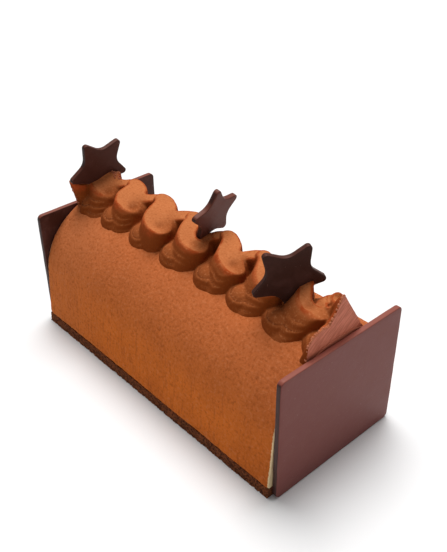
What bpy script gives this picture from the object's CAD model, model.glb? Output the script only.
# %% [markdown]
# # A yule log cake
#
# The cake is a half-round log of chocolate mousse, sprayed with cocoa butter while frozen, so
# that it is covered with a matt velvet. It stands on a thin sponge between two poured chocolate
# plates, and a ribbon of whipped cream is piped along its top with three chocolate stars in it.
#
# The CAD model already has every piece in its place. Here each piece is made again as a fine
# surface on a grid of numbers, and gets a finish built from shader nodes.

# %% Load the frame and measure the CAD pieces
import math

import bmesh
import bpy
import numpy as np
from mathutils import Matrix, Vector


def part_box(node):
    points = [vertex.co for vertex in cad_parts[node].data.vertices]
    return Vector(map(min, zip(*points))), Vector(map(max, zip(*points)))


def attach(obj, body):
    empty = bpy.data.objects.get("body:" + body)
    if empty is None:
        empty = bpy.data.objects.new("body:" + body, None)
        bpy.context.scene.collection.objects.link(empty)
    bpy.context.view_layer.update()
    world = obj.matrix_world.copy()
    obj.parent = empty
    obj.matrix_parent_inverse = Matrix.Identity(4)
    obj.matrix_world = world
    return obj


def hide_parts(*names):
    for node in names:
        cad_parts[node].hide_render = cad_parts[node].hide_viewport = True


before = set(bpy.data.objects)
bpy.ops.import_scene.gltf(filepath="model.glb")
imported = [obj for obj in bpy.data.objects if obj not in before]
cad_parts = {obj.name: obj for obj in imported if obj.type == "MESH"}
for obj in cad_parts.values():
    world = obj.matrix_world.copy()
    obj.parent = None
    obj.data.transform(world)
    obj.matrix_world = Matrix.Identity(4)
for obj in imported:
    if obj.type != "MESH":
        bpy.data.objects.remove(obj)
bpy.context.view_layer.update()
MM = 0.001

log_low, log_high = (np.array(corner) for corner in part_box("mousse_log"))
sponge_high = np.array(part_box("sponge_base")[1])
half_length = float(log_high[0])
base_half_width = float(sponge_high[1])
top_z = float(log_high[2])
print("log half length, base half width and top in mm:",
      [round(v / MM, 2) for v in (half_length, base_half_width, top_z)])

# %% [markdown]
# Real surfaces are never quite even, so most pieces borrow from one noise function. It looks
# up random numbers on a lattice and blends the eight that surround each point. Everything is
# done on whole arrays, and the seed is fixed, so the cake is the same each time.

# %% Noise and grid helpers
NOISE_CELLS = 64
SAME_POINT = 0.001 * MM
noise_table = np.random.default_rng(24).uniform(-1, 1, (NOISE_CELLS,) * 3)


def noise(x, y, z):
    """Value noise from -1 to 1: a smooth blend of the random numbers at the eight lattice
    points around (x, y, z), each weighted by 3f^2 - 2f^3 of its distance f along each axis."""
    parts = [np.broadcast_arrays(x, y, z)[axis] for axis in range(3)]
    cells = [np.floor(part).astype(int) for part in parts]
    blends = [(f := part - cell) * f * (3 - 2 * f) for part, cell in zip(parts, cells)]
    total = np.zeros(parts[0].shape)
    for corner in range(8):
        steps = [(corner >> axis) & 1 for axis in range(3)]
        index = tuple((cell + step) % NOISE_CELLS for cell, step in zip(cells, steps))
        weight = np.prod([b if step else 1 - b for b, step in zip(blends, steps)], axis=0)
        total += weight * noise_table[index]
    return total


def rough(x, y, z, size, octaves=3):
    """Noise at a size in metres, plus finer and weaker layers of it at half the size each."""
    total, share = 0, 1.0
    for octave in range(octaves):
        total = total + share * noise(x / size + 17 * octave, y / size, z / size)
        size, share = size / 2, share / 2
    return total


def smooth_step(low, high, value):
    """0 below low, 1 above high and 3t^2 - 2t^3 between them."""
    t = np.clip((value - low) / (high - low), 0, 1)
    return t * t * (3 - 2 * t)


def grid_faces(rows, columns, wrap_rows=False, wrap_columns=False):
    """Quads that join each point of a rows x columns grid to its neighbours."""
    index = np.arange(rows * columns).reshape(rows, columns)
    if wrap_rows:
        index = np.vstack([index, index[:1]])
    if wrap_columns:
        index = np.hstack([index, index[:, :1]])
    corners = (index[:-1, :-1], index[1:, :-1], index[1:, 1:], index[:-1, 1:])
    return np.stack(corners, -1).reshape(-1, 4)


def end_faces(rows, columns):
    """The first and the last row of a grid, each as one face that closes a tube."""
    return [list(range(columns)), list(range((rows - 1) * columns, rows * columns))]


def finished_piece(name, points, faces, ngons=(), smooth_angle=40, values=None):
    """Makes a closed mesh object from arrays of points and quads and turns its faces outwards.
    Each of the values is one number for each point, which a finish can read by its name."""
    mesh = bpy.data.meshes.new(name)
    mesh.from_pydata(np.reshape(points, (-1, 3)).tolist(), [], [*faces.tolist(), *ngons])
    for label, numbers in (values or {}).items():
        layer = mesh.attributes.new(label, "FLOAT", "POINT")
        layer.data.foreach_set("value", numbers.astype(np.float32))
    shell = bmesh.new()
    shell.from_mesh(mesh)
    bmesh.ops.remove_doubles(shell, verts=shell.verts, dist=SAME_POINT)
    bmesh.ops.recalc_face_normals(shell, faces=shell.faces)
    shell.to_mesh(mesh)
    open_edges = sum(not edge.is_manifold for edge in shell.edges)
    shell.free()
    mesh.shade_smooth()
    mesh.set_sharp_from_angle(angle=math.radians(smooth_angle))
    piece = bpy.data.objects.new(name, mesh)
    bpy.context.scene.collection.objects.link(piece)
    print(f"{name}: {len(mesh.polygons)} faces, {open_edges} open edges")
    return piece


# %% [markdown]
# A finish is a network of shader nodes. To keep the sums readable, one small class wraps an
# output socket, so that `1 - mask` or `spots * 0.5` builds the Math node by itself. A second
# class opens a material and gives it the few nodes that all the finishes share. A colour is
# built up as on the real thing: a base tone with thin layers over it, each held by a mask.

# %% Shader helpers
class Wire:
    """An output socket that can be added, multiplied and so on, like a number."""

    def __init__(self, tree, socket):
        self.tree = tree
        self.socket = socket

    def math(self, operation, *others, flip=False):
        """A Math node with this wire first, or last when flipped."""
        node = self.tree.nodes.new("ShaderNodeMath")
        node.operation = operation
        values = [*others, self] if flip else [self, *others]
        for socket, value in zip(node.inputs, values):
            if isinstance(value, Wire):
                self.tree.links.new(value.socket, socket)
            else:
                socket.default_value = value
        return Wire(self.tree, node.outputs[0])

    def __add__(self, other):
        return self.math("ADD", other)

    def __sub__(self, other):
        return self.math("SUBTRACT", other)

    def __rsub__(self, other):
        return self.math("SUBTRACT", other, flip=True)

    def __mul__(self, other):
        return self.math("MULTIPLY", other)

    __radd__ = __add__
    __rmul__ = __mul__

    def step(self, low, high):
        """0 below low, 1 above high, smooth between them."""
        node = self.tree.nodes.new("ShaderNodeMapRange")
        node.interpolation_type = "SMOOTHSTEP"
        self.tree.links.new(self.socket, node.inputs["Value"])
        node.inputs["From Min"].default_value = low
        node.inputs["From Max"].default_value = high
        return Wire(self.tree, node.outputs["Result"])


class Finish:
    """A material with a Principled shader, its Object coordinates and a few shared nodes."""

    def __init__(self, name, **constants):
        self.material = bpy.data.materials.new(name)
        self.material.use_nodes = True
        self.tree = self.material.node_tree
        self.shader = self.tree.nodes["Principled BSDF"]
        for socket, value in constants.items():
            self.shader.inputs[socket.replace("_", " ")].default_value = value
        self.place = self.node("ShaderNodeTexCoord", output="Object")
        self.x, self.y, self.z = self.split(self.place)

    def node(self, kind, settings=None, values=None, output=0):
        """Any other node: its settings are set first, then its values or links."""
        node = self.tree.nodes.new(kind)
        for name, value in (settings or {}).items():
            setattr(node, name, value)
        for name, value in (values or {}).items():
            if isinstance(value, Wire):
                self.tree.links.new(value.socket, node.inputs[name])
            else:
                node.inputs[name].default_value = value
        return Wire(self.tree, node.outputs[output])

    def split(self, vector):
        """The X, Y and Z of a vector, as three wires."""
        axes = self.tree.nodes.new("ShaderNodeSeparateXYZ")
        self.tree.links.new(vector.socket, axes.inputs[0])
        return [Wire(self.tree, axes.outputs[axis]) for axis in "XYZ"]

    def facing(self):
        """The X, Y and Z of the direction that the surface faces."""
        return self.split(self.node("ShaderNodeNewGeometry", output="Normal"))

    def stretched(self, z):
        """Object coordinates, with the height scaled."""
        return self.node("ShaderNodeVectorMath", {"operation": "MULTIPLY"},
                         {0: self.place, 1: (1.0, 1.0, z)})

    def noise(self, size, detail=3.0, roughness=0.55, place=None):
        """Noise from 0 to 1 whose blobs are about one size across, in metres."""
        return self.node("ShaderNodeTexNoise", None,
                         {"Vector": place or self.place, "Scale": 1 / size,
                          "Detail": detail, "Roughness": roughness})

    def mix(self, mask, first, second):
        """The first colour where the mask is 0 and the second where it is 1."""
        return self.node("ShaderNodeMix", {"data_type": "RGBA"},
                         {0: mask, 6: first, 7: second}, output=2)

    def layers(self, tone, *covers):
        """A tone with layers over it: each is a mask and a colour, and the last lies on top."""
        for mask, cover in covers:
            tone = self.mix(mask, tone, cover)
        return tone

    def attribute(self, name):
        """The number that each point of the piece carries under this name."""
        return self.node("ShaderNodeAttribute", {"attribute_name": name}, output="Fac")

    def feed(self, socket, wire):
        """Links a wire to one input of the Principled shader."""
        self.tree.links.new(wire.socket, self.shader.inputs[socket])

    def bump(self, height, distance, strength=1.0):
        """Small relief, as high as the distance in metres where the height is 1."""
        wire = self.node("ShaderNodeBump", None,
                         {"Height": height, "Distance": distance, "Strength": strength})
        self.feed("Normal", wire)


def colour(red, green, blue):
    """A linear colour with full alpha."""
    return (red, green, blue, 1.0)


# %% [markdown]
# The camera stands to the front and right of the cake and above it, and looks down along the
# log. Its direction is a turn about the vertical, a tilt below the horizon and a very small
# roll. It is less than half a metre away, so the near plate looks clearly larger than the far
# one.

# %% Camera
CAMERA_TURN = math.radians(48.17)
CAMERA_TILT = math.radians(33.91)
CAMERA_ROLL = math.radians(-0.55)
CAMERA_PLACE = Vector((0.26664, -0.22394, 0.29370))
LENS_MM = 50.65

ahead = Vector((-math.sin(CAMERA_TURN) * math.cos(CAMERA_TILT),
                math.cos(CAMERA_TURN) * math.cos(CAMERA_TILT),
                -math.sin(CAMERA_TILT)))
level_right = Vector((math.cos(CAMERA_TURN), math.sin(CAMERA_TURN), 0))
level_up = level_right.cross(ahead)
right = math.cos(CAMERA_ROLL) * level_right + math.sin(CAMERA_ROLL) * level_up
up = math.cos(CAMERA_ROLL) * level_up - math.sin(CAMERA_ROLL) * level_right

camera = bpy.data.objects.new("camera", bpy.data.cameras.new("camera"))
camera.data.lens = LENS_MM
camera.data.clip_start = 0.01
camera.matrix_world = Matrix((
    (right.x, up.x, -ahead.x, CAMERA_PLACE.x),
    (right.y, up.y, -ahead.y, CAMERA_PLACE.y),
    (right.z, up.z, -ahead.z, CAMERA_PLACE.z),
    (0, 0, 0, 1)))
bpy.context.scene.collection.objects.link(camera)
bpy.context.scene.camera = camera
print("camera distance from the cake's middle in mm:", round(CAMERA_PLACE.length / MM))

# %% [markdown]
# The log was cast in a gutter mould: its flanks flare by a few degrees and run into a round
# top. The same profile is needed by the log, the sponge and the ribbon that lies on it, so it
# is one function, an arc between two straight flanks, measured by its length from the foot.

# %% Profile of the log
FLARE = math.radians(5.0)
arch_radius = (base_half_width * math.cos(FLARE) - top_z * math.sin(FLARE)) / (1 - math.sin(FLARE))
arch_centre_z = top_z - arch_radius
shoulder_z = arch_centre_z + arch_radius * math.sin(FLARE)


def arch_z(y):
    """Height of the round top at a distance y from the middle: the circle's centre plus the
    square root of its radius squared less y squared."""
    return arch_centre_z + np.sqrt(np.maximum(arch_radius**2 - y**2, 0))


def flank_y(z):
    """Half width of the flanks at a height z."""
    return base_half_width - z * math.tan(FLARE)


def log_profile(foot_z, count):
    """Points (y, z) and outward normals evenly along the flank, the arc and the other flank."""
    flank = (shoulder_z - foot_z) / math.cos(FLARE)
    arc = arch_radius * (math.pi - 2 * FLARE)
    along = np.linspace(0, 2 * flank + arc, count)
    up_first = np.clip(along / flank, 0, 1)
    down_last = np.clip((along - flank - arc) / flank, 0, 1)
    angle = math.pi - FLARE - np.clip((along - flank) / arch_radius, 0, math.pi - 2 * FLARE)
    z_first = foot_z + up_first * (shoulder_z - foot_z)
    z_last = shoulder_z + down_last * (foot_z - shoulder_z)
    on_first = along <= flank
    on_last = along >= flank + arc
    normal_y, normal_z = np.cos(angle), np.sin(angle)
    arc_y, arc_z = arch_radius * normal_y, arch_centre_z + arch_radius * normal_z
    y = np.where(on_first, -flank_y(z_first), np.where(on_last, flank_y(z_last), arc_y))
    z = np.where(on_first, z_first, np.where(on_last, z_last, arc_z))
    return y, z, normal_y, normal_z


print("arch radius and centre height in mm:",
      round(arch_radius / MM, 2), round(arch_centre_z / MM, 2))

# %% [markdown]
# The velvet log. Frozen mousse shrinks a little in its mould liner, which leaves fine upright
# wrinkles low on its sides, small pits where bubbles burst, and an orange-peel grain from the
# spray. All three are real relief here: each point of the profile, carried along X, moves
# along its own normal. The ends are flat rings that close onto the middle of the profile.

# %% Mousse log
LOG_ROWS = 400
LOG_COLUMNS = 190
CAP_RINGS = 10
CAP_MIDDLE = 0.45
SOFT_EDGE = 1.2 * MM
WRINKLE = 0.168 * MM
WRINKLE_FADES = (28 * MM, 62 * MM)
WAVE, WAVE_SIZE = 0.22 * MM, 22 * MM
GRAIN, GRAIN_SIZE = 0.10 * MM, 1.3 * MM
CUT_ROUGH, CUT_ROUGH_SIZE = 0.12 * MM, 2 * MM
PIT_COUNT = 26
PIT_ALONG = (4, 150)
PIT_SIZES = (0.35, 0.8)
PIT_DEPTH = 0.9

log_foot_z = float(log_low[2])


def log_relief(x, y, z, along):
    """How far the coat stands off the plain log: upright wrinkles low on the sides, long slow
    waves, the grain of the spray, and pits that are round dents of a bell curve each."""
    low_side = 1 - smooth_step(*WRINKLE_FADES, z)
    far_end = 0.45 + 0.55 * smooth_step(0.3, -0.8, x / half_length)
    wrinkles = noise(x / (1.7 * MM), along / (14 * MM), 3.0)
    wrinkles = wrinkles + 0.6 * noise(x / (0.9 * MM), along / (6 * MM), 9.0)
    waves = rough(x, y, z, WAVE_SIZE, 2)
    grain = rough(x, y, z, GRAIN_SIZE, 2)
    relief = WRINKLE * low_side * far_end * wrinkles + WAVE * waves + GRAIN * grain
    random = np.random.default_rng(5)
    for _ in range(PIT_COUNT):
        pit_x = random.uniform(-0.95, 0.95) * half_length
        pit_along = random.uniform(*PIT_ALONG) * MM
        size = random.uniform(*PIT_SIZES) * MM
        stretch = random.uniform(0.6, 1.0)
        away = ((x - pit_x) ** 2 + ((along - pit_along) * stretch) ** 2) / size**2
        relief = relief - PIT_DEPTH * size * np.exp(-away)
    return relief


def make_log():
    """The profile carried along X and moved by the relief, with both ends closed by rings."""
    y, z, normal_y, normal_z = log_profile(log_foot_z, LOG_COLUMNS)
    x = np.linspace(-half_length, half_length, LOG_ROWS)
    along = np.concatenate([[0], np.cumsum(np.hypot(np.diff(y), np.diff(z)))])
    grid_x, grid_along = np.meshgrid(x, along, indexing="ij")
    grid_y, grid_z = np.broadcast_to(y, grid_x.shape), np.broadcast_to(z, grid_x.shape)
    relief = log_relief(grid_x, grid_y, grid_z, grid_along)
    from_end = half_length - np.abs(grid_x)
    from_foot = np.minimum(grid_along, along[-1] - grid_along)
    relief = relief - 0.5 * SOFT_EDGE * np.exp(-from_end / (0.5 * SOFT_EDGE))
    relief = relief - 0.5 * SOFT_EDGE * np.exp(-from_foot / (0.6 * SOFT_EDGE))
    skin = np.stack([grid_x, grid_y + relief * normal_y, grid_z + relief * normal_z], -1)
    centre = np.array([0, 0, CAP_MIDDLE * top_z])
    inward = np.linspace(1, 0, CAP_RINGS + 1)[1:-1, None, None]
    rings = []
    for end in (0, -1):
        rim = skin[end]
        cap = centre + inward * (rim - centre)
        across, upward = cap[..., 1] / CUT_ROUGH_SIZE, cap[..., 2] / CUT_ROUGH_SIZE
        cap_x = rim[:, 0] + CUT_ROUGH * noise(across, upward, 4.0 + end)
        cap[..., 0] = np.clip(cap_x, -half_length, half_length)
        rings.append(cap)
    sheet = np.concatenate([rings[0][::-1], skin, rings[1]])
    rows = len(sheet)
    faces = grid_faces(rows, LOG_COLUMNS)
    foot = np.arange(rows) * LOG_COLUMNS
    underside = np.stack([foot[:-1], foot[:-1] + LOG_COLUMNS - 1,
                          foot[1:] + LOG_COLUMNS - 1, foot[1:]], -1)
    ngons = end_faces(rows, LOG_COLUMNS)
    return finished_piece("velvet_log", sheet, np.concatenate([faces, underside]), ngons)


velvet_log = make_log()
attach(velvet_log, "root")
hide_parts("mousse_log")

# %% [markdown]
# The coat. Cocoa butter sprayed onto frozen mousse freezes in tiny grains, so the colour is
# matt, slightly speckled and a little lighter where the grains catch the light. Low on the
# sides it is more orange, with darker streaks in the wrinkles. No spray landed on the cut
# ends, so the bare mousse shows there up to a ragged border: vanilla in the body of the log,
# and chocolate above it.

# %% Velvet finish
VELVET_LOW = colour(0.64, 0.155, 0.020)
VELVET_HIGH = colour(0.475, 0.112, 0.027)
VELVET_DARK = colour(0.30, 0.066, 0.012)
VELVET_PALE = colour(0.60, 0.200, 0.075)
VANILLA = colour(0.80, 0.62, 0.36)
SLICED = colour(0.52, 0.155, 0.090)

velvet = Finish("velvet_coat", Roughness=0.95, Specular_IOR_Level=0.1)
blotches = velvet.noise(16 * MM, detail=4)
grains = velvet.noise(1.5 * MM, detail=3, roughness=0.6)
streaks = velvet.noise(1.6 * MM, detail=3, place=velvet.stretched(z=0.12))
higher = velvet.z.step(25 * MM, 72 * MM)
toward_far = 1 - velvet.x.step(-0.9 * half_length, -0.3 * half_length)
toward_near = velvet.x.step(0.6 * half_length, half_length)
sprayed = velvet.layers(
    velvet.mix(higher, VELVET_LOW, VELVET_HIGH),
    (blotches.step(0.35, 0.75) * 0.25 + toward_near * 0.25, VELVET_DARK),
    (higher * 0.25 + toward_far * 0.25, VELVET_PALE),
    ((1 - higher) * streaks.step(0.52, 0.72) * 0.4, VELVET_DARK),
    (grains.step(0.52, 0.68) * 0.45, VELVET_PALE),
    ((1 - grains).step(0.52, 0.68) * 0.5, VELVET_DARK))

border = velvet.noise(1.5 * MM, detail=3) * 1.1 * MM
to_end = half_length - velvet.x.math("ABSOLUTE")
bare = 1 - (to_end - border).step(-0.25 * MM, 0.25 * MM)
inside = velvet.mix(velvet.z.step(50 * MM, 56 * MM), VANILLA, SLICED)
velvet.feed("Base Color", velvet.mix(bare, sprayed, inside))
velvet.bump(grains, 0.45 * MM)
velvet_log.data.materials.append(velvet.material)
print("velvet nodes:", len(velvet.tree.nodes))

# %% [markdown]
# The sponge is a thin dark biscuit, full of holes, whose edge crumbles. Its grid is the same
# closed band as the log's, but its relief is coarse: a sharp noise bites holes out of the edge.

# %% Sponge base
SPONGE_ROWS = 520
SPONGE_COLUMNS = 30
BITE, BITE_SIZE, BITE_LEAST = 0.55 * MM, 2.2 * MM, -0.1
CRUMBLE, CRUMBLE_SIZE = 0.16 * MM, 0.9 * MM
SPONGE_INSET = 0.35 * MM
sponge_top = float(sponge_high[2])


def make_sponge():
    """A slab carried along X whose long sides are eaten away by noise, closed at both ends."""
    half_outline = np.linspace(0, 1, SPONGE_COLUMNS // 2)
    side_y = flank_y(half_outline * sponge_top)
    y = np.concatenate([-side_y, side_y[::-1]])
    z = np.concatenate([half_outline * sponge_top, half_outline[::-1] * sponge_top])
    x = np.linspace(-half_length, half_length, SPONGE_ROWS)
    grid_x, grid_z = np.meshgrid(x, z, indexing="ij")
    grid_y = np.broadcast_to(y, grid_x.shape)
    bite = np.maximum(rough(grid_x, grid_y, grid_z, BITE_SIZE, 3), BITE_LEAST) * BITE
    crumble = rough(grid_x, grid_y, grid_z, CRUMBLE_SIZE, 2) * CRUMBLE
    inset = np.sign(grid_y) * (bite + crumble + SPONGE_INSET)
    points = np.stack([grid_x, grid_y - inset, grid_z], -1)
    faces = grid_faces(SPONGE_ROWS, SPONGE_COLUMNS, wrap_columns=True)
    return finished_piece("sponge_slab", points, faces, end_faces(SPONGE_ROWS, SPONGE_COLUMNS))


sponge_slab = make_sponge()
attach(sponge_slab, "root")
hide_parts("sponge_base")

# %% [markdown]
# A torn edge of sponge is a mass of small holes, dark inside and lighter on the walls between
# them. One noise gives both the colour and the small relief, so that the two agree.

# %% Sponge finish
SPONGE_HOLE = colour(0.07, 0.022, 0.010)
SPONGE_WALL = colour(0.24, 0.075, 0.028)

sponge = Finish("cocoa_sponge", Roughness=0.95, Specular_IOR_Level=0.1)
sponge_holes = sponge.noise(1.1 * MM, detail=4)
sponge.feed("Base Color", sponge.mix(sponge_holes.step(0.38, 0.62), SPONGE_HOLE, SPONGE_WALL))
sponge.bump(sponge_holes, 0.5 * MM)
sponge_slab.data.materials.append(sponge.material)

# %% [markdown]
# The end plates are dark chocolate poured on a sheet and cut while soft, so their edges are
# slightly round and their faces have faint waves. The outline is a rounded rectangle, and the
# thickness is a second parameter that rolls over each edge by a quarter circle.

# %% Plates and stars share one function
EDGE_STEPS = 6


def rounded_outline(corners, radii, steps):
    """Each corner of a closed outline becomes an arc that touches both of its sides."""
    corners = np.asarray(corners, float)
    back = np.roll(corners, 1, axis=0) - corners
    onward = np.roll(corners, -1, axis=0) - corners
    back /= np.linalg.norm(back, axis=1, keepdims=True)
    onward /= np.linalg.norm(onward, axis=1, keepdims=True)
    half = np.arccos(np.clip((back * onward).sum(1), -1, 1)) / 2
    radii = np.asarray(radii, float)
    middle = (back + onward) / np.linalg.norm(back + onward, axis=1, keepdims=True)
    centre = corners + middle * (radii / np.sin(half))[:, None]
    first = corners + back * (radii / np.tan(half))[:, None] - centre
    last = corners + onward * (radii / np.tan(half))[:, None] - centre
    sweep = (math.pi - 2 * half)[:, None, None]
    share = np.linspace(0, 1, steps)[None, :, None]
    arms = np.sin((1 - share) * sweep) * first[:, None] + np.sin(share * sweep) * last[:, None]
    return (centre[:, None] + arms / np.sin(sweep)).reshape(-1, 2)


def outline_normals(outline):
    """Outward normals of a closed outline that runs anticlockwise."""
    tangent = np.roll(outline, -1, axis=0) - np.roll(outline, 1, axis=0)
    tangent /= np.linalg.norm(tangent, axis=1, keepdims=True)
    return np.stack([tangent[:, 1], -tangent[:, 0]], -1)


def slab(outline, thickness, edge, rings):
    """Points of a thin slab in its own plane. From the middle of one face out to the edge, over
    it by two quarter circles and back to the middle of the other face."""
    normals = outline_normals(outline)
    quarter = np.linspace(0, math.pi / 2, EDGE_STEPS)
    inset = edge * (1 - np.sin(quarter))
    height = thickness / 2 - edge * (1 - np.cos(quarter))
    middle = outline.mean(0)
    inner = outline - edge * normals
    shrink = np.linspace(0, 1, rings + 1)[1:]
    rows = [np.column_stack([middle + s * (inner - middle), np.full(len(outline), thickness / 2)])
            for s in shrink]
    rows += [np.column_stack([outline - i * normals, np.full(len(outline), h)])
             for i, h in zip(inset[1:], height[1:])]
    front = np.array(rows)
    return np.concatenate([front, front[::-1] * (1, 1, -1)])


def make_slab_piece(name, local, place):
    """Closes a slab's two middles and puts it in the world with a 4 x 4 matrix."""
    rows, columns = local.shape[:2]
    flat = local.reshape(-1, 3)
    world = flat @ np.array(place)[:3, :3].T + np.array(place)[:3, 3]
    faces = grid_faces(rows, columns, wrap_columns=True)
    return finished_piece(name, world, faces, end_faces(rows, columns), smooth_angle=50)


# %% [markdown]
# An end plate is that slab over a rounded rectangle as large as its CAD node. Its long sides
# get points between the corners, so that they can carry faint nicks, and both faces get slow
# waves, as on poured chocolate.

# %% End plates
PLATE_CORNER = 3.0 * MM
PLATE_EDGE = 0.55 * MM
PLATE_RINGS = 14
CORNER_STEPS = 8
SIDE_STEPS = 12
NICK, NICK_SIZE = 0.10 * MM, 6 * MM
PLATE_WAVE, PLATE_WAVE_SIZE = 0.10 * MM, 16 * MM


def make_plate(node):
    """A rounded rectangle as large as the CAD plate, with faint waves in both of its faces."""
    low, high = (np.array(corner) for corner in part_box(node))
    size = high - low
    half_y, half_z = size[1] / 2, size[2] / 2
    corners = [(half_y, -half_z), (half_y, half_z), (-half_y, half_z), (-half_y, -half_z)]
    square = rounded_outline(corners, [PLATE_CORNER] * 4, CORNER_STEPS)
    filled = []
    for here, there in zip(square, np.roll(square, -1, axis=0)):
        count = 1 if np.linalg.norm(there - here) < 2 * PLATE_CORNER else SIDE_STEPS
        filled.append(here + (there - here) * np.linspace(0, 1, count + 1)[:-1, None])
    outline = np.concatenate(filled)
    nicks = noise(outline[:, 0] / NICK_SIZE, outline[:, 1] / NICK_SIZE, low[0] / MM)
    outline = outline - outline_normals(outline) * (NICK * (1 + nicks))[:, None]
    local = slab(outline, size[0], PLATE_EDGE, PLATE_RINGS)
    facing = np.sign(local[..., 2])
    waves = rough(local[..., 0], local[..., 1], low[0] / MM + 0 * facing, PLATE_WAVE_SIZE, 2)
    local[..., 2] -= facing * PLATE_WAVE * (1 + waves / 2)
    centre = (low + high) / 2
    place = Matrix(((0, 0, 1, centre[0]), (1, 0, 0, centre[1]), (0, 1, 0, centre[2]), (0, 0, 0, 1)))
    return make_slab_piece(node.replace("end_plate", "chocolate_plate"), local, place)


plates = [make_plate("end_plate_front"), make_plate("end_plate_back")]
for plate, node in zip(plates, ("end_plate_front", "end_plate_back")):
    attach(plate, "root")
    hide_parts(node)

# %% [markdown]
# A star was cut from a sheet with a rounded cutter, so its five tips and notches are arcs. The
# CAD star tells how it stands: the flattest direction of its points is the normal of its
# faces, and the point farthest from its middle is one of its tips.

# %% Stars
STAR_TIPS = 5
STAR_WAIST = 0.53
STAR_TIP_RADIUS = 1.8 * MM
STAR_NOTCH_RADIUS = 7.0 * MM
STAR_TIP_SHARE = 0.55
STAR_EDGE = 0.5 * MM
STAR_ARC_STEPS = 9
STAR_RINGS = 6


def star_pose(node):
    """Centre, thickness, tip radius and turning matrix of a CAD star, from its points."""
    mesh = bpy.data.objects[node].data
    points = np.empty(3 * len(mesh.vertices))
    mesh.vertices.foreach_get("co", points)
    points = points.reshape(-1, 3)
    centre = points.mean(0)
    normal = np.linalg.svd(points - centre, full_matrices=False)[2][2]
    normal = normal * np.sign(normal[0])
    height = (points - centre) @ normal
    flat = points - np.outer(height, normal)
    reach = np.linalg.norm(flat - centre, axis=1)
    radius = reach.max()
    farthest = flat[reach > 0.99 * radius]
    first = farthest[np.linalg.norm(farthest - farthest[0], axis=1) < radius / 2]
    tip = first.mean(0) - centre
    tip = tip * radius / np.linalg.norm(tip)
    upward = tip / radius
    sideways = np.cross(normal, upward)
    turn = np.column_stack([sideways, upward, normal])
    return centre, np.ptp(height), radius, turn


def make_star(node):
    """Five rounded tips and five rounded notches, with a soft edge all round."""
    centre, thickness, radius, turn = star_pose(node)
    steps = np.arange(2 * STAR_TIPS)
    angle = math.pi / 2 + steps * math.pi / STAR_TIPS
    is_tip = steps % 2 == 0
    sharp = radius + STAR_TIP_RADIUS * STAR_TIP_SHARE
    reach = np.where(is_tip, sharp, STAR_WAIST * radius)
    corners = np.stack([reach * np.cos(angle), reach * np.sin(angle)], -1)
    radii = np.where(is_tip, STAR_TIP_RADIUS, STAR_NOTCH_RADIUS)
    outline = rounded_outline(corners, radii, STAR_ARC_STEPS)
    outline *= radius / np.linalg.norm(outline, axis=1).max()
    local = slab(outline, thickness, STAR_EDGE, STAR_RINGS)
    place = Matrix.Identity(4)
    for row in range(3):
        place[row] = (*turn[row], centre[row])
    print(node, "centre mm", (centre / MM).round(1), "radius mm", round(radius / MM, 1))
    return make_slab_piece("chocolate_" + node, local, place)


star_nodes = ("star_back", "star_middle", "star_front")
stars = [make_star(node) for node in star_nodes]
for star, node in zip(stars, star_nodes):
    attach(star, "root")
    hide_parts(node)

# %% [markdown]
# Dark chocolate is smooth and satin. Touching it and cooling it leave faint cloudy bloom and
# tiny pale specks. The knife's cut along one edge has no bloom and stays nearly black, and the
# top edge is scraped lighter. The near plate is the palest of all the pieces.

# %% Chocolate finish
BLOOM = colour(0.24, 0.105, 0.088)
SPECK = colour(0.35, 0.22, 0.18)
SCRAPED = colour(0.30, 0.085, 0.055)
KNIFE_CUT = colour(0.018, 0.006, 0.005)
WARM_SHINE = colour(1.0, 0.70, 0.62)
SATIN = 0.45
PLATE_BASES = (colour(0.185, 0.047, 0.039), colour(0.050, 0.015, 0.010))
STAR_BASES = (colour(0.066, 0.021, 0.014), colour(0.125, 0.039, 0.026),
              colour(0.038, 0.013, 0.009))


def chocolate_finish(name, base, bloom_share, gloss, scrape):
    """Dark brown with cloudy bloom and a few pale specks. What faces -Y is darker, because the
    knife's cut there has no bloom, and what faces up is scraped lighter."""
    finish = Finish(name, Specular_IOR_Level=gloss, Specular_Tint=WARM_SHINE)
    cloud = finish.noise(11 * MM, detail=5, roughness=0.6).step(0.42, 0.72)
    fine = finish.noise(1.3 * MM, detail=3)
    specks = finish.noise(0.7 * MM, detail=0).step(0.83, 0.86)
    _, sideways, upward = finish.facing()
    finish.feed("Base Color", finish.layers(
        base,
        (cloud * bloom_share, BLOOM),
        (specks * 0.4, SPECK),
        (upward.step(0.45, 0.8) * scrape, SCRAPED),
        ((sideways * -1).step(0.75, 0.95) * 0.9, KNIFE_CUT)))
    finish.feed("Roughness", SATIN + cloud * 0.10 + fine * 0.06)
    finish.bump(finish.noise(5 * MM, detail=3) + fine * 0.2, 0.12 * MM)
    return finish.material


for plate, base in zip(plates, PLATE_BASES):
    plate.data.materials.append(chocolate_finish(plate.name, base, 0.3, gloss=0.3, scrape=0.6))
for star, base in zip(stars, STAR_BASES):
    star.data.materials.append(chocolate_finish(star.name, base, 0.12, gloss=0.2, scrape=0.1))
print("chocolate pieces:", len(plates) + len(stars))

# %% [markdown]
# The ribbon of cream. The baker swings the nozzle from side to side while moving along the log,
# so the ribbon lies in folds. Each fold has a roll of cream at its foot, a steep wall, and a
# smooth top with a crisp rim where the nozzle rode over it. The folds lean towards +X.
#
# Seen from above, such a ribbon never doubles back over itself, so one height for each point
# of the plan is enough, and a shear afterwards gives the lean. This cell follows the nozzle:
# one swing from side to side for each fold, at the foot and at the crest. No two folds are
# alike, so each has a few measures of its own, listed from the far end to the near end.

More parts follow.
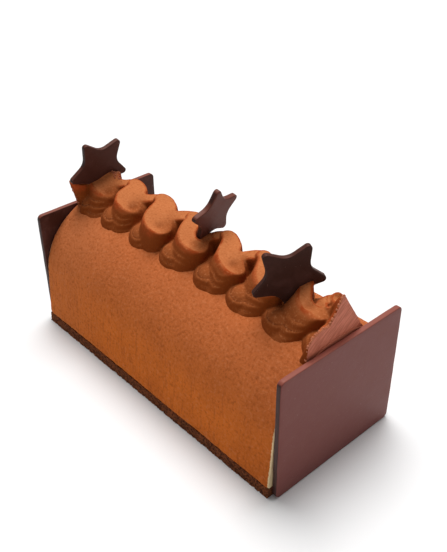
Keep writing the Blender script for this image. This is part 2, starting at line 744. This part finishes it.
# %% Ribbon: the swing of the nozzle
# Each fold: its left turn, its crest's shift along X and across Y, how late and how much wider
# the strand that comes in is, its rise, half its crest's width and how its strands are pinched
LEFT_TURNS = np.array([-108.5, -83.7, -59.4, -32.3, -5.2, 22.7, 47.4, 72.6, 98.5]) * MM
CREST_X = np.array([6.0, -3.0, -2.0, 0.8, 1.5, 2.5, 4.0, 4.7, -3.0]) * MM
CREST_Y = np.array([-3.0, 2.5, 1.7, -1.0, 1.0, 2.0, 3.0, 4.0, -3.5]) * MM
CREST_LATE = np.array([0.0, 0.0, 0.0, 0.0, 0.0, 0.0, 0.0, 5.0, 7.0]) * MM
CREST_FILL = np.array([0.0, 1.8, 2.2, 2.2, 0.2, 1.0, 1.0, -0.8, 0.0]) * MM
CREST_RISE = np.array([3.5, 0.0, 0.0, 0.0, 0.0, 0.0, 0.0, 0.0, 0.0]) * MM
CREST_HALF_WIDTHS = np.array([5.6, 5.0, 5.2, 5.6, 4.9, 4.9, 4.7, 4.0, 5.6]) * MM
PINCH = np.array([2.3, 2.3, 2.3, 2.3, 0.3, 2.3, 2.3, -1.0, 2.0]) * MM
STATIONS = 57

# Foot and crest: how far each swings across Y, its middle, and its moves along X
FOOT_REACH, FOOT_CENTRE_Y, FOOT_SKEW = 11.0 * MM, 0.3 * MM, 3.0 * MM
FOOT_HALF_WIDTH, FOOT_WIDENING = 6.4 * MM, 2.2 * MM
CREST_REACH, CREST_CENTRE_Y, CREST_WIDENING = 8.9 * MM, -0.1 * MM, 3.0 * MM
CREST_SHIFT, CREST_SKEW, CREST_DRAG = 1.5 * MM, 2.5 * MM, 3.5 * MM
OUT_CREST_LESS, FAR_CREST_LESS = 1.6 * MM, 1.0 * MM

# Crest at the left turn, on the way out, at the right turn and on the way in
CREST_Z = {"left": 83.6 * MM, "out": 85.0 * MM, "right": 87.0 * MM, "in": 87.0 * MM}
SLOPE_X = {"turn": 0.18, "out": 0.50, "in": 0.13}
SLOPE_Y = {"out": 0.15, "in": 0.05}
RIM_RADIUS, RIM_RADIUS_OUT = 0.9 * MM, 4.5 * MM

# Roll of cream along the foot
ROLL_REACH, ROLL_CENTRE_Y, ROLL_SHIFT, ROLL_WIDENING = 12.8 * MM, -0.3 * MM, -3.4 * MM, 2.5 * MM
ROLL_HEIGHT, ROLL_LEAST, ROLL_EARLY = 5.6 * MM, 2.0 * MM, 0.25


def swing(fold):
    """One fold's stations while the angle t runs from one right turn to the next: plan points
    of the foot, of the crest and of the roll, then the crest's height, slopes, rim and half
    width. All swing by minus their reach times cos t. The crest is skewed by cos t and pinched
    by sin t, so that its two strands lie close together."""
    t = np.linspace(-math.pi, math.pi, STATIONS)
    here = LEFT_TURNS[fold]
    before = LEFT_TURNS[fold - 1] if fold else 2 * here - LEFT_TURNS[1]
    last = fold + 1 == len(LEFT_TURNS)
    after = 2 * here - LEFT_TURNS[-2] if last else LEFT_TURNS[fold + 1]
    along = here + t / (2 * math.pi) * np.where(t < 0, here - before, after - here)
    cos, sin = np.cos(t), np.sin(t)
    out, back = np.maximum(sin, 0) ** 2, np.maximum(-sin, 0) ** 2
    left, far = np.maximum(cos, 0) ** 2, np.maximum(-cos, 0) ** 2
    near_left = np.cos(t / 2) ** 2

    foot_x = along + FOOT_WIDENING * np.sin(2 * t) + FOOT_SKEW * cos
    foot = np.stack([foot_x, FOOT_CENTRE_Y - FOOT_REACH * cos], -1)
    crest_x = along + CREST_WIDENING * np.sin(2 * t) * near_left - PINCH[fold] * sin
    crest_x = crest_x + CREST_SHIFT + CREST_SKEW * cos - CREST_DRAG * sin**2
    crest_x = crest_x + CREST_X[fold] * near_left + (CREST_FILL[fold] + CREST_LATE[fold]) * back
    crest_y = CREST_CENTRE_Y - CREST_REACH * cos + CREST_Y[fold] * near_left**2
    crest = np.stack([crest_x, crest_y], -1)
    roll_x = along + ROLL_WIDENING * np.sin(2 * t) + ROLL_SHIFT
    roll_z = ROLL_LEAST + (ROLL_HEIGHT - ROLL_LEAST) * np.cos(t + ROLL_EARLY) ** 8
    roll = np.stack([roll_x, ROLL_CENTRE_Y - ROLL_REACH * cos, roll_z], -1)

    crest_z = CREST_Z["left"] * left + CREST_Z["right"] * far + CREST_RISE[fold] * left
    crest_z = crest_z + CREST_Z["out"] * out + CREST_Z["in"] * back
    slope_x = SLOPE_X["in"] * back + SLOPE_X["out"] * out + SLOPE_X["turn"] * (left + far)
    slope_y = SLOPE_Y["in"] * back + SLOPE_Y["out"] * out
    rim = RIM_RADIUS + (RIM_RADIUS_OUT - RIM_RADIUS) * out
    width = CREST_HALF_WIDTHS[fold] + CREST_FILL[fold] * back
    width = width - OUT_CREST_LESS * out - FAR_CREST_LESS * far
    return foot, crest, roll, crest_z, slope_x, slope_y, rim, width


print("folds:", len(LEFT_TURNS), "with", STATIONS, "stations each")

# %% [markdown]
# The wall of a fold is a trail of slanted cones, one for each station of the swing, and the
# height of a point on the steepest cone that covers it comes from a quadratic equation. The
# top is a soft mean of the slanted planes that the nozzle pressed flat, with a small dimple
# where it turned. The roll at the foot is a trail of half-sunk balls. The highest shape wins
# everywhere, so the folds lie against each other as soft cream does.

# %% Ribbon: height over the plan
LEVEL_LOW, LEVEL_HIGH = -9.0, 3.0
STEEPEST = 6.0
TOP_BLEND = 3.5 * MM
DIMPLE_X, DIMPLE_Y, DIMPLE_SIZE, DIMPLE_DEPTH = 2.5 * MM, 1.0 * MM, 2.0 * MM, 1.3 * MM
ROLL_RADIUS, ROLL_SINK = 6.6 * MM, 1.2 * MM
ROLL_BLEND = 0.35 * MM
BELOW_LOG = 3.0 * MM
FOLD_SPAN = 34 * MM
TINY, FAINT = 1e-9, 1e-12


def fold_height(fold, x, y):
    """Height of one fold above the log over points (x, y).

    Wall: each station is a slanted cone from a disc at the foot to a smaller disc at the crest.
    With d the way from the foot's centre to the point, v from the foot's centre to the crest's
    and w + s*g the radius at level s, the rim of the level that passes through the point obeys
    (v.v - g^2) s^2 - 2 (d.v + w g) s + d.d - w^2 = 0, and the larger root is the level,
    as long as the smaller one, where the cone starts to cover the point, is not past the crest.
    Top: the planes of all stations, each weighted by a bell curve of its distance.
    The fold is the lower of the two, rounded where they meet."""
    foot, crest, _, crest_z, slope_x, slope_y, rim, width = swing(fold)
    point = np.stack([x, y], -1)[:, None]
    from_foot, away, span = point - foot, point - crest, crest - foot
    growth = width - FOOT_HALF_WIDTH
    a = np.maximum((span**2).sum(-1) - growth**2, TINY)
    b = (from_foot * span).sum(-1) + FOOT_HALF_WIDTH * growth
    c = (from_foot**2).sum(-1) - FOOT_HALF_WIDTH**2
    root = np.sqrt(np.maximum(b**2 - a * c, 0))
    covered = (root > 0) & (b - root <= a)
    level = np.clip(np.where(covered, (b + root) / a, LEVEL_LOW), LEVEL_LOW, LEVEL_HIGH)
    floor_z = arch_z(foot[:, 1])
    cone = floor_z + level * (crest_z - floor_z)
    past_crest = np.maximum(np.linalg.norm(away, axis=-1) - width, 0)
    wall = np.max(np.maximum(cone, crest_z - STEEPEST * past_crest), axis=1)

    weight = np.exp(-(away**2).sum(-1) / (2 * TOP_BLEND**2)) + FAINT
    plane = crest_z - slope_x * away[..., 0] - slope_y * away[..., 1]
    total = weight.sum(1)
    middle = STATIONS // 2
    from_dimple = ((x - foot[middle, 0] - DIMPLE_X) ** 2
                   + (y - crest[middle, 1] - DIMPLE_Y) ** 2)
    dimple = DIMPLE_DEPTH * np.exp(-from_dimple / (2 * DIMPLE_SIZE**2))
    top = (weight * plane).sum(1) / total - dimple
    rounding = (weight * rim).sum(1) / total
    lower = np.minimum(wall, top)
    lower = lower - np.maximum(rounding - np.abs(wall - top), 0) ** 2 / (4 * rounding)
    return lower - arch_z(y)


def roll_height(fold, x, y):
    """Height of the roll at the foot: a trail of half-sunk balls, highest just before a turn."""
    roll = swing(fold)[2]
    away = ((np.stack([x, y], -1)[:, None] - roll[:, :2]) ** 2).sum(-1)
    ball = np.sqrt(np.maximum(ROLL_RADIUS**2 - away, 0)) / ROLL_RADIUS
    return (ball * (roll[:, 2] + ROLL_SINK) - ROLL_SINK - BELOW_LOG * (ball == 0)).max(1)


def folds_height(x, y):
    """The highest of all folds and rolls above the log, at least a little below its surface."""
    height = np.full(x.shape, -BELOW_LOG)
    for fold, turn in enumerate(LEFT_TURNS):
        near = np.abs(x - turn) < FOLD_SPAN
        walls = fold_height(fold, x[near], y[near])
        rolls = roll_height(fold, x[near], y[near])
        overlap = np.maximum(ROLL_BLEND - np.abs(walls - rolls), 0)
        joined = np.maximum(walls, rolls) + overlap**2 / (4 * ROLL_BLEND)
        height[near] = np.maximum(height[near], joined)
    return height


# %% [markdown]
# Three places break the pattern. Two stars pushed up a little cream when they went in, which
# is a bell-shaped lift in each place. At the near end the knife left a section with a round
# knob on one side and a sharp peak on the other. At the far end the ribbon starts with a stub
# whose foot is narrow and whose crest hangs over.

# %% Ribbon: its two ends and the lifts
# Each lift: its place along X and across Y, and its rise, in millimetres
LIFTS = np.array([(69.5, 6.0, 4.5), (-91.5, 6.0, 2.5)]) * MM
LIFT_SIZE = 4.5 * MM
CUT_KNOB_Y, CUT_KNOB_REACH = -12.0 * MM, 9.9 * MM
CUT_KNOB_Z, CUT_KNOB_HEIGHT = 76.0 * MM, 8.2 * MM
PEAK_Y, PEAK_Z, PEAK_FALL, PEAK_DIP = 0.7 * MM, 97.0 * MM, 1.6, 0.55
PEAK_FULL, PEAK_THIN, PEAK_LONG = 1.0 * MM, 4.5 * MM, 15.0 * MM
PEAK_THIN_Y, PEAK_LONG_Y = -3 * MM, 4 * MM
LEAN = 0.20
FAR_FROM, FAR_TO, FAR_PULL, FAR_OVERHANG = -88.0 * MM, -94.5 * MM, 0.28, 0.40


def near_end_section(y):
    """Height above the log of the section that the knife left at +X: half an ellipse, and a
    peak whose two sides fall in straight lines, whichever is higher."""
    knob = np.sqrt(np.maximum(1 - ((y - CUT_KNOB_Y) / CUT_KNOB_REACH) ** 2, 0))
    knob_z = np.where(knob > 0, CUT_KNOB_Z + CUT_KNOB_HEIGHT * knob, 0)
    peak_z = PEAK_Z - PEAK_FALL * np.abs(y - PEAK_Y)
    return np.maximum(np.maximum(knob_z, peak_z) - arch_z(y), -BELOW_LOG)


def before_the_cut(x, y):
    """Distance from the cut along X, once the lean has moved the section's points."""
    return np.maximum(half_length - LEAN * np.maximum(near_end_section(y), 0) - x, 0)


def near_end_height(x, y):
    """The section carried back from the cut while it dips."""
    return np.maximum(near_end_section(y) - PEAK_DIP * before_the_cut(x, y), -BELOW_LOG)


def near_end_share(x, y):
    """How far the section replaces the folds: over a thin slice on the -Y side, and over a
    longer way on the +Y side, where the peak runs back into the last fold's ridge."""
    reach = PEAK_THIN + (PEAK_LONG - PEAK_THIN) * smooth_step(PEAK_THIN_Y, PEAK_LONG_Y, y)
    return 1 - smooth_step(0, 1, (before_the_cut(x, y) - PEAK_FULL) / (reach - PEAK_FULL))


def ribbon_height(x, y):
    """The folds with the lifts on them, blended into the section at the near end."""
    height = folds_height(x, y)
    for lift_x, lift_y, rise in LIFTS:
        away = (x - lift_x) ** 2 + (y - lift_y) ** 2
        height = height + rise * np.exp(-away / (2 * LIFT_SIZE**2)) * (height > 0)
    return height + near_end_share(x, y) * (near_end_height(x, y) - height)


print("height of the cut's peak above the log in mm:",
      round(float(near_end_section(PEAK_Y)) / MM, 1))

# %% [markdown]
# The grid of heights is softened a little, as cream flows. Low on the outer sides each swing
# of the nozzle left a fine step, so there the height gets a sine of itself. The grid is then
# sheared, closed below inside the log and sliced flat at both ends. Three numbers stay with
# each point for the finish: its height above the log, how deep in a crease it lies, and
# whether it is on a rim.

# %% Ribbon: mesh
RIBBON_CELL = 0.42 * MM
RIBBON_HALF_SPAN = 23.0 * MM
RIBBON_OVERRUN = 10.0 * MM
RIBBON_CORE_Z = 58.0 * MM
SLICE_INSET = 0.4 * MM
TERRACE, TERRACE_DEPTH, TERRACE_WOBBLE = 2.6 * MM, 0.40 * MM, 0.65 * MM
RIM_BEND = (90, 500)
RIM_ABOVE = (8 * MM, 10 * MM)


def around(table):
    """Sum of the four neighbours of each inner point of a table."""
    return table[:-2, 1:-1] + table[2:, 1:-1] + table[1:-1, :-2] + table[1:-1, 2:]


def softened(table):
    """Twice over, each inner point becomes half itself and half the mean of its neighbours."""
    table = table.copy()
    for _ in range(2):
        table[1:-1, 1:-1] = 0.5 * table[1:-1, 1:-1] + 0.125 * around(table)
    return table


def rim_mask(table):
    """1 where a steep wall turns into a flat top. The height there lies well above the mean of
    its surroundings, so the mask grows with minus the Laplacian of the height."""
    bend = np.zeros_like(table)
    bend[1:-1, 1:-1] = (4 * table[1:-1, 1:-1] - around(table)) / RIBBON_CELL**2
    return smooth_step(*RIM_BEND, softened(bend)) * smooth_step(*RIM_ABOVE, table)


def terraces(x, y, height, slope):
    """The height plus a sine of itself where the outer sides are low and neither flat nor
    upright, and a mask of the crease under each step, from a high power of the cosine."""
    wobble = TERRACE_WOBBLE * rough(x, y, 0 * height, 9 * MM, 2)
    phase = 2 * math.pi * (height + wobble) / TERRACE
    share = (smooth_step(0.3, 0.9, slope) * smooth_step(0.8 * MM, 2.0 * MM, height)
             * smooth_step(10.5 * MM, 13 * MM, np.abs(y))
             * (1 - 0.75 * smooth_step(7 * MM, 10 * MM, height)))
    crease = np.maximum(-np.cos(phase - 0.6), 0) ** 6 * share * (1 - smooth_step(1.2, 2.2, slope))
    return height + TERRACE_DEPTH * np.sin(phase) * share, crease


def make_ribbon():
    """The height over a fine grid, sheared by the lean and closed below inside the log."""
    x = np.arange(-half_length - RIBBON_OVERRUN, half_length + RIBBON_OVERRUN, RIBBON_CELL)
    y = np.arange(-RIBBON_HALF_SPAN, RIBBON_HALF_SPAN, RIBBON_CELL)
    grid_x, grid_y = (part.ravel() for part in np.meshgrid(x, y, indexing="ij"))
    far = smooth_step(-FAR_FROM, -FAR_TO, -grid_x)
    pulled_y = grid_y * (1 + FAR_PULL * far * (grid_y < 0))
    table = softened(ribbon_height(grid_x, pulled_y).reshape(len(x), len(y)))
    slope = np.hypot(*np.gradient(table, RIBBON_CELL))
    height, crease = terraces(grid_x, grid_y, table.ravel(), slope.ravel())
    lifted = np.maximum(height, 0)
    lump = rough(grid_x, grid_y, height, 5 * MM, 2) * 0.16 * MM
    lump = lump + rough(grid_x, grid_y, height, 1.3 * MM, 2) * 0.05 * MM
    lump = lump * smooth_step(0, 2 * MM, lifted)
    world = np.stack([grid_x + LEAN * lifted + lump,
                      grid_y - FAR_OVERHANG * far * lifted + lump,
                      arch_z(grid_y) + height + 0.6 * lump], -1)

    rows, columns = table.shape
    index = np.arange(rows * columns).reshape(rows, columns)
    border = np.concatenate([index[:-1, 0], index[-1, :-1], index[:0:-1, -1], index[0, :0:-1]])
    skirt = world[border] * (1, 1, 0) + (0, 0, RIBBON_CORE_Z)
    lower = rows * columns + np.arange(len(border))
    sides = np.stack([border, np.roll(border, -1), np.roll(lower, -1), lower], -1)
    values = {"above_log": height, "crease": crease, "rim": rim_mask(table).ravel()}
    none = np.zeros(len(border))
    return finished_piece(
        "cream_ribbon", np.concatenate([world, skirt]),
        np.concatenate([grid_faces(rows, columns), sides]), [lower.tolist()], smooth_angle=60,
        values={name: np.concatenate([numbers, none]) for name, numbers in values.items()})


def slice_flat(piece, side):
    """Cuts the piece at one end of the log and closes the cut with one face of its own slot."""
    shell = bmesh.new()
    shell.from_mesh(piece.data)
    everything = [*shell.verts, *shell.edges, *shell.faces]
    place = side * (half_length - SLICE_INSET)
    cut = bmesh.ops.bisect_plane(shell, geom=everything, plane_co=(place, 0, 0),
                                 plane_no=(side, 0, 0), clear_outer=True)
    rim = [item for item in cut["geom_cut"] if isinstance(item, bmesh.types.BMEdge)]
    closed = bmesh.ops.contextual_create(shell, geom=rim)
    for face in closed["faces"]:
        face.material_index = 1
        face.smooth = False
    shell.to_mesh(piece.data)
    open_edges = sum(not edge.is_manifold for edge in shell.edges)
    shell.free()
    print("cut at", side, "leaves", open_edges, "open edges")


cream_ribbon = make_ribbon()
slice_flat(cream_ribbon, 1)
slice_flat(cream_ribbon, -1)
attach(cream_ribbon, "root")
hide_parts("piped_ribbon")

# %% [markdown]
# The cream got the same spray as the log, but thinner. Its flat tops caught it and are light,
# its steep walls keep the dark cream's colour, the rims are redder where the spray slid off,
# and the creases between two swings are darkest.

# %% Cream finish
CREAM_TOP = colour(0.52, 0.162, 0.053)
CREAM_WALL = colour(0.225, 0.046, 0.007)
CREAM_RIM = colour(0.36, 0.060, 0.012)
CREAM_PALE = colour(0.66, 0.25, 0.10)
CREAM_CREASE = colour(0.10, 0.018, 0.003)

cream = Finish("piped_cream", Roughness=0.95, Specular_IOR_Level=0.08)
spray = cream.noise(1.1 * MM, detail=3)
patches = cream.noise(7 * MM, detail=3)
raised = cream.attribute("above_log").step(7.5 * MM, 11 * MM)
flat_top = (cream.facing()[2] + patches * 0.2 - 0.1).step(0.32, 0.80)
rim = cream.attribute("rim") * (0.5 + patches.step(0.4, 0.6) * 0.5)
cream.feed("Base Color", cream.layers(
    CREAM_WALL,
    (flat_top * (0.30 + raised * 0.70), CREAM_TOP),
    (rim, CREAM_RIM),
    (cream.attribute("crease") * 0.85, CREAM_CREASE),
    (spray.step(0.54, 0.70) * (0.05 + flat_top * 0.30), CREAM_PALE),
    ((1 - spray).step(0.54, 0.70) * 0.35, CREAM_WALL)))
drag = cream.noise(2.0 * MM, detail=2, place=cream.stretched(z=2.5))
cream.bump(spray + drag * 0.5, 0.16 * MM)
cream_ribbon.data.materials.append(cream.material)

# %% [markdown]
# Where the ribbon was sliced the bare cream shows. The knife dragged it along, which left
# smears, and a flat noise that is stretched along the stroke gives them.

# %% Sliced cream finish
SLICE_PALE = colour(0.62, 0.185, 0.108)
SLICE_DARK = colour(0.48, 0.130, 0.070)
SMEAR_SIZE, SMEAR_STRETCH = 1.2 * MM, 0.15

sliced = Finish("sliced_cream", Roughness=0.6, Specular_IOR_Level=0.2)
along_stroke = (sliced.y * 0.8 + sliced.z * 0.6) * SMEAR_STRETCH
across_stroke = sliced.z * 0.8 - sliced.y * 0.6
stroke = sliced.node("ShaderNodeCombineXYZ", None, {"X": along_stroke, "Y": across_stroke})
smears = sliced.node("ShaderNodeTexNoise", {"noise_dimensions": "2D"},
                     {"Vector": stroke, "Scale": 1 / SMEAR_SIZE, "Detail": 3.0})
sliced.feed("Base Color", sliced.mix(smears.step(0.35, 0.65), SLICE_PALE, SLICE_DARK))
sliced.bump(smears, 0.12 * MM)
cream_ribbon.data.materials.append(sliced.material)
print("cream nodes:", len(cream.tree.nodes), "and", len(sliced.tree.nodes))

# %% [markdown]
# Crumbs. The knife tore small flakes of cream along the near cut and at the far end, the stars
# pushed up a few where their points went in, and the sponge sheds some along its foot. A crumb
# is a small ball of 8 x 5 points whose radius varies with noise, so that none is round. All
# crumbs of one kind are a single mesh, made in one go from arrays.

# %% Crumbs
BALL_COLUMNS, BALL_ROWS = 8, 5


def crumbs(name, places, radii, seed):
    """One mesh of lumpy balls, each with its middle at its own place and its own radius."""
    around_ball = np.linspace(0, 2 * math.pi, BALL_COLUMNS + 1)[:-1]
    down_ball = np.linspace(0, math.pi, BALL_ROWS + 2)[1:-1]
    turn, down = np.meshgrid(around_ball, down_ball, indexing="ij")
    ball = np.stack([np.sin(down) * np.cos(turn), np.sin(down) * np.sin(turn), np.cos(down)], -1)
    quads = grid_faces(BALL_COLUMNS, BALL_ROWS, wrap_rows=True)
    random = np.random.default_rng(seed)
    shift = random.uniform(0, 50, (len(places), 1, 1))
    stretch = random.uniform(0.6, 1.2, (len(places), 1, 1, 3))
    lumps = 1 + 0.35 * noise(ball[..., 0] * 1.3 + shift, ball[..., 1] * 1.3, ball[..., 2] * 1.3)
    sizes = (lumps * radii[:, None, None])[..., None]
    points = np.asarray(places)[:, None, None] + (ball * stretch) * sizes
    starts = np.arange(len(places)) * BALL_COLUMNS * BALL_ROWS
    faces = (starts[:, None, None] + quads).reshape(-1, 4)
    ring = np.arange(BALL_COLUMNS) * BALL_ROWS
    ends = [(start + ring + end).tolist() for start in starts for end in (0, BALL_ROWS - 1)]
    return finished_piece(name, points, faces, ends)


# %% [markdown]
# The flakes of cream sit on the ribbon's own points. Three masks choose the points: the edge
# of the near cut, the -Y edge of the far end, and a small ball beside two of the stars.

# %% Crumbs of cream
CUT_CRUMBS, FAR_CRUMBS, STAR_CRUMBS = 130, 40, 60
STAR_CRUMB_REACH = 4.5 * MM
pushed_up = np.array([(-84.0, 8.0, 88.5), (73.5, 9.0, 91.0)]) * MM

ribbon_points = np.empty(3 * len(cream_ribbon.data.vertices))
cream_ribbon.data.vertices.foreach_get("co", ribbon_points)
ribbon_points = ribbon_points.reshape(-1, 3)
point_x, point_y = ribbon_points[:, 0], ribbon_points[:, 1]
above = ribbon_points[:, 2] - arch_z(point_y)
to_stars = np.linalg.norm(ribbon_points[:, None] - pushed_up, axis=-1).min(1)
at_cut = (point_x > half_length - 0.9 * MM) & (point_y < 1 * MM) & (above > 0.5 * MM)
at_far_end = (point_x < -half_length + 1.5 * MM) & (point_y < -10 * MM) & (above > 0)
at_stars = to_stars < STAR_CRUMB_REACH

pick = np.random.default_rng(11)
chosen = np.concatenate([
    ribbon_points[mask][pick.integers(0, mask.sum(), count)]
    for mask, count in ((at_cut, CUT_CRUMBS), (at_far_end, FAR_CRUMBS), (at_stars, STAR_CRUMBS))])
sizes = pick.uniform(0.25, 0.75, len(chosen)) * MM
chosen[:, 0] = np.clip(chosen[:, 0], -half_length + 2 * sizes, half_length - 1.5 * sizes)
cream_crumbs = crumbs("cream_crumbs", chosen, sizes, 3)

flakes = Finish("cream_flakes", Roughness=0.8, Specular_IOR_Level=0.15)
flakes.feed("Base Color", flakes.mix(flakes.noise(2 * MM), colour(0.62, 0.22, 0.12),
                                     colour(0.40, 0.12, 0.05)))

# %% [markdown]
# The sponge's crumbs lie along its long side at -Y. Most of them lie low, because their height
# is the square of an even random number.

# %% Crumbs of sponge
SPONGE_CRUMBS = 330
CRUMB_PRESS = 0.6 * MM

foot_x = pick.uniform(-0.98, 0.98, SPONGE_CRUMBS) * half_length
foot_z = pick.uniform(0.3, 1.6, SPONGE_CRUMBS) ** 2 * MM
sizes = pick.uniform(0.2, 0.5, SPONGE_CRUMBS) * MM
foot_places = np.stack([foot_x, CRUMB_PRESS - flank_y(foot_z) + sizes, foot_z + sizes], -1)
sponge_crumbs = crumbs("sponge_crumbs", foot_places, sizes, 4)

for piece, slot, finish in ((cream_crumbs, "piped_cream", flakes),
                            (sponge_crumbs, "cocoa_sponge", sponge)):
    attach(piece, "root")
    piece.data.materials.append(finish.material)

# %% [markdown]
# The cake stands on a plain pale table in a white studio. One very broad sun stands high
# behind it, which lights the tops of the folds and leaves their near sides in soft shade. A
# weak even light from all around keeps the shade from going black.

# %% Floor, lights and world
FLOOR_SIZE = 6.0
SUN_SIDE = Vector((-1, 1, 0)).normalized()
SUN_HEIGHT = math.radians(70)
SUN_WIDTH = math.radians(40)
SUN_ENERGY = 3.4
WORLD_STRENGTH = 0.25

bpy.ops.mesh.primitive_plane_add(size=FLOOR_SIZE)
table = bpy.context.object
table.name = "table"
paper = Finish("pale_table", Base_Color=colour(0.86, 0.86, 0.86), Roughness=0.8)
table.data.materials.append(paper.material)

toward_sun = SUN_SIDE * math.cos(SUN_HEIGHT) + Vector((0, 0, math.sin(SUN_HEIGHT)))
sun = bpy.data.objects.new("key", bpy.data.lights.new("key", "SUN"))
sun.data.energy = SUN_ENERGY
sun.data.angle = SUN_WIDTH
sun.rotation_euler = toward_sun.to_track_quat("Z", "Y").to_euler()
bpy.context.scene.collection.objects.link(sun)

world = bpy.data.worlds.new("studio")
world.use_nodes = True
backdrop = world.node_tree.nodes["Background"]
backdrop.inputs["Color"].default_value = colour(1, 1, 1)
backdrop.inputs["Strength"].default_value = WORLD_STRENGTH
bpy.context.scene.world = world
bpy.context.scene.view_settings.view_transform = "Standard"
